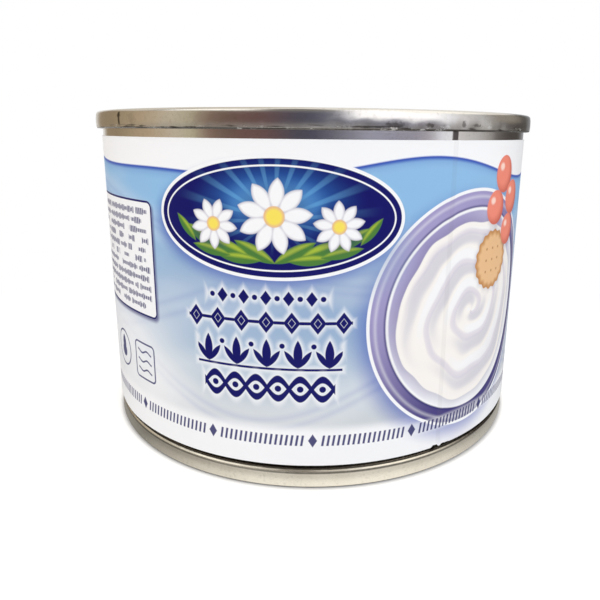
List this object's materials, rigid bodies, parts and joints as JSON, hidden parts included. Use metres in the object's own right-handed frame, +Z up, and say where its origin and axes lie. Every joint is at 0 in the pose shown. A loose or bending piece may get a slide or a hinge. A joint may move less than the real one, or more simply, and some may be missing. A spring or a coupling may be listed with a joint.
{
  "type": "can of table cream",
  "caption": "Short round tinplate food can, shut, with double-seamed ends, a necked-in foot and a wrapped paper label in white, pale blue and navy.",
  "frame": {"origin": "on the can's axis, in the plane that the bottom seam stands on", "axes": "+Z up along the can's axis; the front of the label faces -Y; +X is to its right"},
  "size_m": [0.075, 0.075, 0.0515],
  "materials": {
    "body_tinplate": "satin tinplate, rolled round the can",
    "end_tinplate": "satin tinplate with fine scuffs and a rolled seam",
    "base_tinplate": "matt tinplate with a dull rolled seam",
    "label_paper": "coated paper with a soft gloss, printed in blue, navy, purple and white"
  },
  "bodies": {
    "root": {"can_body": "body_tinplate", "top_end": "end_tinplate", "base_end": "base_tinplate", "label": "label_paper"}
  },
  "joints": []
}
